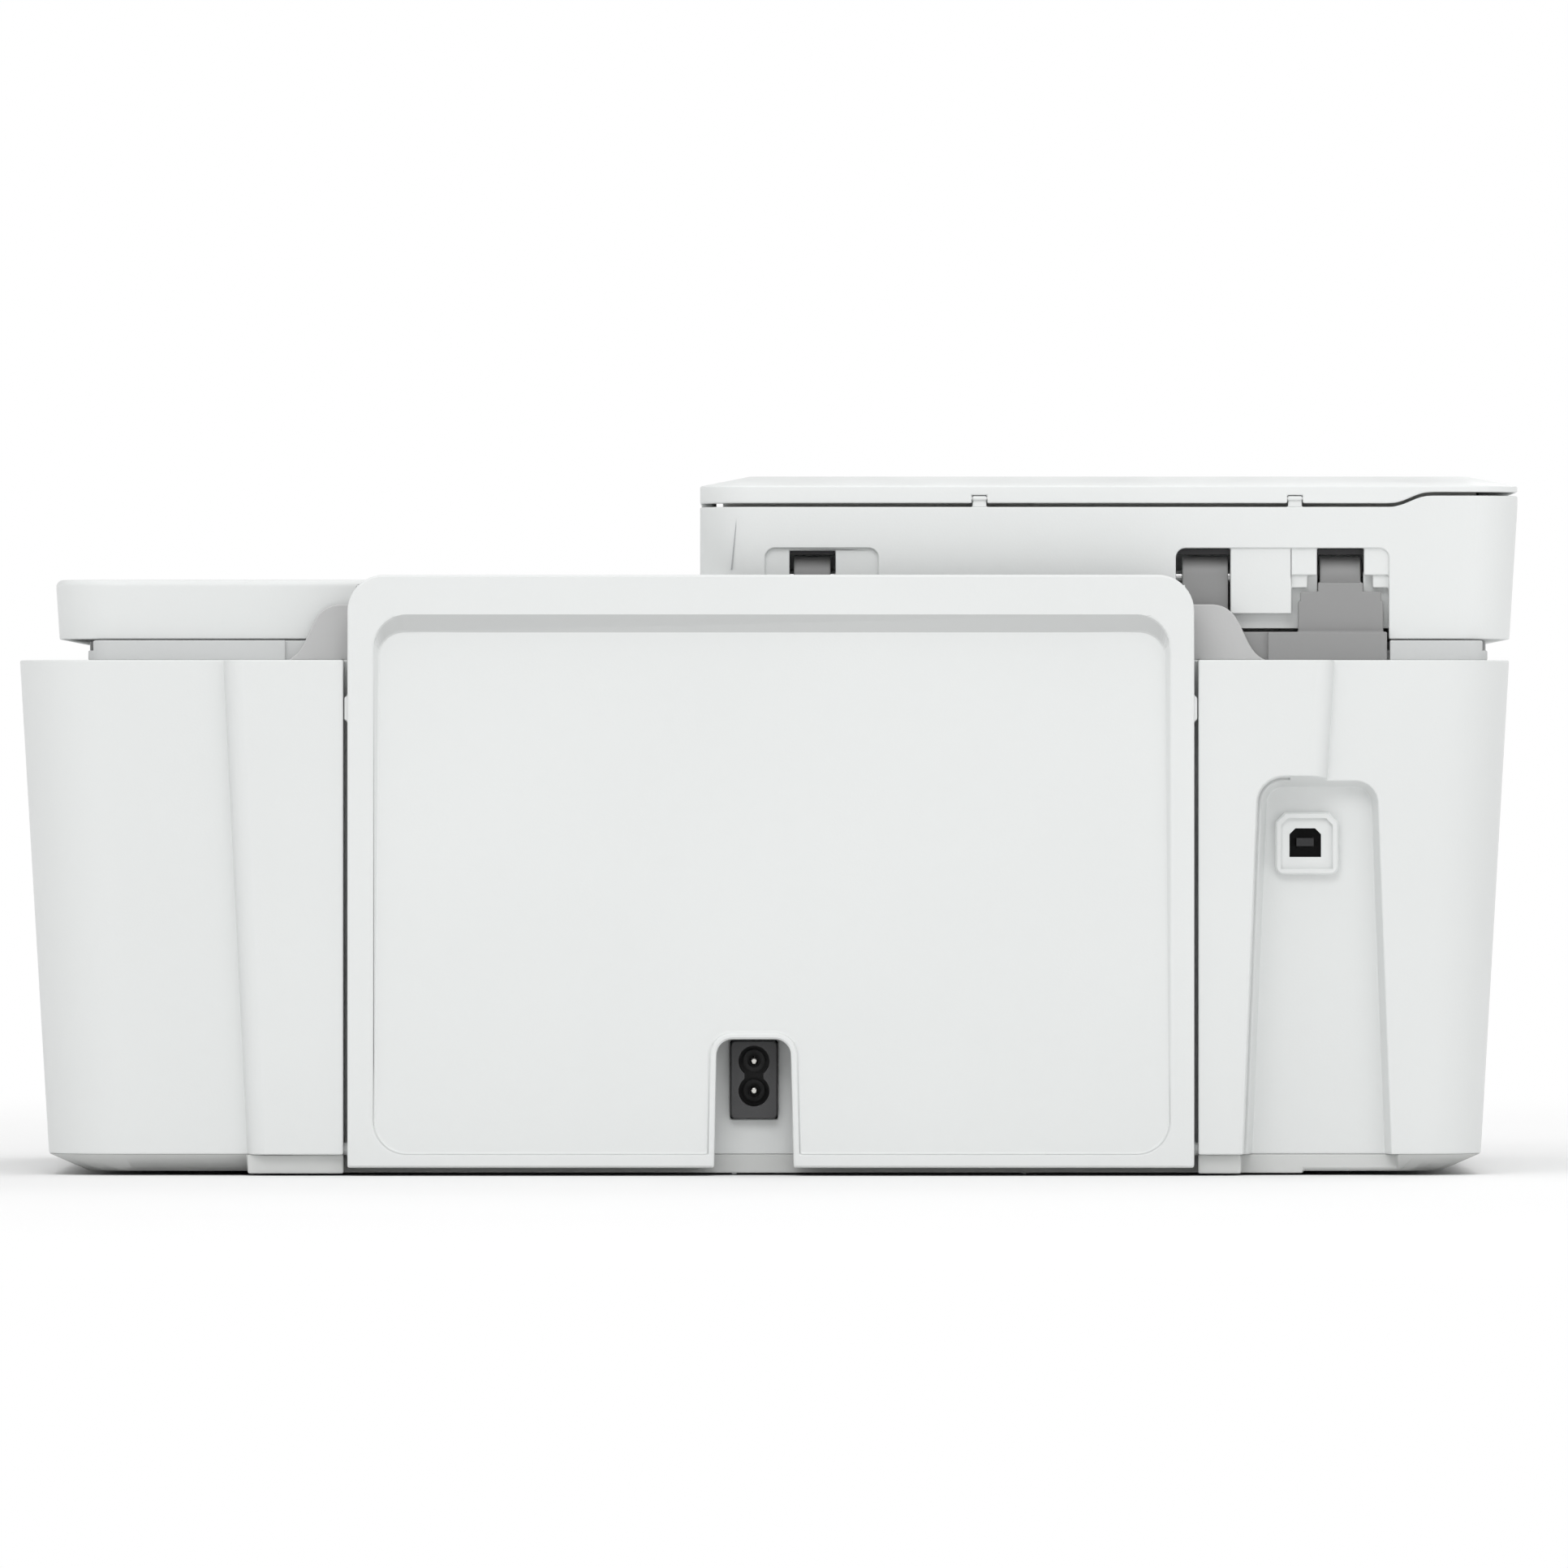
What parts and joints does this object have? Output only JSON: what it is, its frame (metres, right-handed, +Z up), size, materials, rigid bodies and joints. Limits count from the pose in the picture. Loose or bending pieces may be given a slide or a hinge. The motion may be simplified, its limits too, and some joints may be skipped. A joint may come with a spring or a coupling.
{
  "type": "inkjet printer",
  "caption": "All-in-one inkjet printer: flatbed scanner with lifting lid, control deck, rear paper tray, front output tray and a moving print carriage",
  "frame": {"origin": "middle of the bounding box's footprint, on the table", "axes": "+X right as seen from the front, front faces -Y, rear paper tray at +Y, +Z up"},
  "size_m": [0.428, 0.332, 0.1993],
  "materials": {
    "white_shell": "satin moulded white",
    "white_tray": "satin moulded white",
    "white_scanner": "satin moulded white",
    "white_lid": "satin moulded white",
    "neck_plastic": "light grey, fine texture",
    "pan_plastic": "white, fine texture",
    "cheek_plastic": "light grey",
    "guide_plastic": "light grey",
    "grey_bracket": "mid grey",
    "grey_inner": "dark grey",
    "gear_plastic": "natural acetal",
    "tray_grey": "light grey, fine texture",
    "black_plastic": "black",
    "cartridge_plastic": "black",
    "panel_black": "glossy charcoal",
    "button_plastic": "silver grey",
    "display_glass": "dark window",
    "flatbed_glass": "clear float glass",
    "pad_foam": "white foam sheet",
    "steel": "ground steel",
    "sheet_steel": "zinc plated sheet",
    "motor_steel": "drawn can",
    "nickel_pin": "nickel plated",
    "bush_brass": "sintered bronze look",
    "strip_film": "clear film",
    "roller_rubber": "ground rubber",
    "belt_rubber": "toothed belt",
    "foot_rubber": "soft rubber",
    "felt": "absorbent felt",
    "inlet_plastic": "dark grey moulding",
    "board_green": "glass epoxy board"
  },
  "bodies": {
    "root": {"base_housing": "white_shell", "base_pan": "pan_plastic", "carriage_motor": "motor_steel", "carriage_rail": "steel", "case_screws": "steel", "chassis": "sheet_steel", "encoder_strip": "strip_film", "feed_motor": "motor_steel", "hinge_arms": "grey_bracket", "hinge_bracket": "grey_bracket", "idler_rollers": "grey_inner", "inlet_pins": "nickel_pin", "main_board": "board_green", "paper_chute": "cheek_plastic", "platen": "black_plastic", "power_inlet": "inlet_plastic", "power_supply": "black_plastic", "rubber_feet": "foot_rubber", "service_station": "grey_inner", "shaft_bushes": "bush_brass", "timing_belt": "belt_rubber", "top_frame": "neck_plastic", "tray_rails": "grey_inner", "upper_hinge_pins": "steel", "usb_bezel": "white_shell", "usb_shell": "black_plastic", "usb_tongue": "black_plastic", "waste_pad": "felt"},
    "rear_tray": {"input_tray": "white_tray"},
    "extender": {"tray_extender": "white_tray"},
    "guide_left": {"width_guide_left": "guide_plastic"},
    "guide_right": {"width_guide_right": "guide_plastic"},
    "guide_gear": {"guide_pinion": "gear_plastic"},
    "upper_unit": {"scanner_housing": "white_scanner", "deck_cover": "white_shell", "control_panel": "panel_black", "display_window": "display_glass", "scanner_glass": "flatbed_glass", "scan_rail": "steel"},
    "lid": {"lid_shell": "white_lid", "lid_hinge_pins": "steel", "lid_pad": "pad_foam"},
    "scanner_bar": {"scan_bar": "black_plastic"},
    "carriage": {"carriage_body": "black_plastic", "cartridge_black": "cartridge_plastic", "cartridge_color": "cartridge_plastic"},
    "motor_pulley_body": {"motor_pulley": "bush_brass"},
    "idler_pulley_body": {"idler_pulley": "gear_plastic"},
    "feed_shaft": {"feed_roller": "roller_rubber"},
    "output_shaft": {"output_roller": "roller_rubber"},
    "pick_shaft": {"pick_roller": "roller_rubber"},
    "front_tray": {"output_tray": "tray_grey"},
    "front_extender": {"output_extender": "tray_grey"},
    "button_copy_color_body": {"button_copy_color": "button_plastic"},
    "button_copy_mono_body": {"button_copy_mono": "button_plastic"},
    "button_down_body": {"button_down": "button_plastic"},
    "button_ok_body": {"button_ok": "button_plastic"},
    "button_power_body": {"button_power": "button_plastic"},
    "button_stop_body": {"button_stop": "button_plastic"},
    "button_up_body": {"button_up": "button_plastic"}
  },
  "joints": [
    {"name": "upper_unit_lift", "type": "hinge", "parent": "root", "child": "upper_unit", "pos_m": [0, 0.132, 0.1705], "axis": [-1, 0, 0], "range_deg": [0, 22]},
    {"name": "lid_open", "type": "hinge", "parent": "upper_unit", "child": "lid", "pos_m": [0, 0.1413, 0.1929], "axis": [-1, 0, 0], "range_deg": [0, 68]},
    {"name": "scan_bar_slide", "type": "slide", "parent": "upper_unit", "child": "scanner_bar", "axis": [0, -1, 0], "range_m": [0, 0.27]},
    {"name": "rear_tray_tilt", "type": "hinge", "parent": "root", "child": "rear_tray", "pos_m": [0, 0.159, 0.0076], "axis": [-1, 0, 0], "range_deg": [0, 25]},
    {"name": "tray_extender_slide", "type": "slide", "parent": "rear_tray", "child": "extender", "axis": [0, 0, 1], "range_m": [0, 0.08]},
    {"name": "guide_left_slide", "type": "slide", "parent": "root", "child": "guide_left", "axis": [1, 0, 0], "range_m": [-0.045, 0]},
    {"name": "guide_right_slide", "type": "slide", "parent": "root", "child": "guide_right", "axis": [1, 0, 0], "range_m": [0, 0.045]},
    {"name": "guide_gear_spin", "type": "hinge", "parent": "root", "child": "guide_gear", "pos_m": [0, 0.128, 0.058], "axis": [0, 0, 1], "range_deg": [-440, 10]},
    {"name": "carriage_slide", "type": "slide", "parent": "root", "child": "carriage", "axis": [-1, 0, 0], "range_m": [0, 0.232]},
    {"name": "motor_pulley_spin", "type": "hinge", "parent": "root", "child": "motor_pulley_body", "pos_m": [0.16, 0.052, 0.124], "axis": [0, 1, 0], "continuous": true},
    {"name": "idler_pulley_spin", "type": "hinge", "parent": "root", "child": "idler_pulley_body", "pos_m": [-0.16, 0.052, 0.124], "axis": [0, 1, 0], "continuous": true},
    {"name": "feed_roller_spin", "type": "hinge", "parent": "root", "child": "feed_shaft", "pos_m": [0, 0.05, 0.06], "axis": [1, 0, 0], "continuous": true},
    {"name": "output_roller_spin", "type": "hinge", "parent": "root", "child": "output_shaft", "pos_m": [0, -0.06, 0.06], "axis": [1, 0, 0], "continuous": true},
    {"name": "pick_roller_spin", "type": "hinge", "parent": "root", "child": "pick_shaft", "pos_m": [0, 0.098, 0.076], "axis": [1, 0, 0], "continuous": true},
    {"name": "output_tray_slide", "type": "slide", "parent": "root", "child": "front_tray", "axis": [0, -1, 0], "range_m": [0, 0.08]},
    {"name": "output_extender_slide", "type": "slide", "parent": "front_tray", "child": "front_extender", "axis": [0, -1, 0], "range_m": [0, 0.07]},
    {"name": "button_copy_color_press", "type": "slide", "parent": "upper_unit", "child": "button_copy_color_body", "axis": [0, 0, -1], "range_m": [0, 0.0012], "stiffness_N_per_m": 250, "springref_m": -0.001},
    {"name": "button_copy_mono_press", "type": "slide", "parent": "upper_unit", "child": "button_copy_mono_body", "axis": [0, 0, -1], "range_m": [0, 0.0012], "stiffness_N_per_m": 250, "springref_m": -0.001},
    {"name": "button_down_press", "type": "slide", "parent": "upper_unit", "child": "button_down_body", "axis": [0, 0, -1], "range_m": [0, 0.0012], "stiffness_N_per_m": 250, "springref_m": -0.001},
    {"name": "button_ok_press", "type": "slide", "parent": "upper_unit", "child": "button_ok_body", "axis": [0, 0, -1], "range_m": [0, 0.0012], "stiffness_N_per_m": 250, "springref_m": -0.001},
    {"name": "button_power_press", "type": "slide", "parent": "upper_unit", "child": "button_power_body", "axis": [0, 0, -1], "range_m": [0, 0.0012], "stiffness_N_per_m": 250, "springref_m": -0.001},
    {"name": "button_stop_press", "type": "slide", "parent": "upper_unit", "child": "button_stop_body", "axis": [0, 0, -1], "range_m": [0, 0.0012], "stiffness_N_per_m": 250, "springref_m": -0.001},
    {"name": "button_up_press", "type": "slide", "parent": "upper_unit", "child": "button_up_body", "axis": [0, 0, -1], "range_m": [0, 0.0012], "stiffness_N_per_m": 250, "springref_m": -0.001}
  ],
  "couplings": [
    {"joint": "guide_right_slide", "follows": "guide_left_slide", "ratio": -1},
    {"joint": "guide_gear_spin", "follows": "guide_left_slide", "rad_per_m": 166.67},
    {"joint": "motor_pulley_spin", "follows": "carriage_slide", "rad_per_m": 144.93},
    {"joint": "idler_pulley_spin", "follows": "carriage_slide", "rad_per_m": 144.93},
    {"joint": "output_roller_spin", "follows": "feed_roller_spin", "ratio": 1.2727},
    {"joint": "pick_roller_spin", "follows": "feed_roller_spin", "ratio": 0.5833}
  ]
}
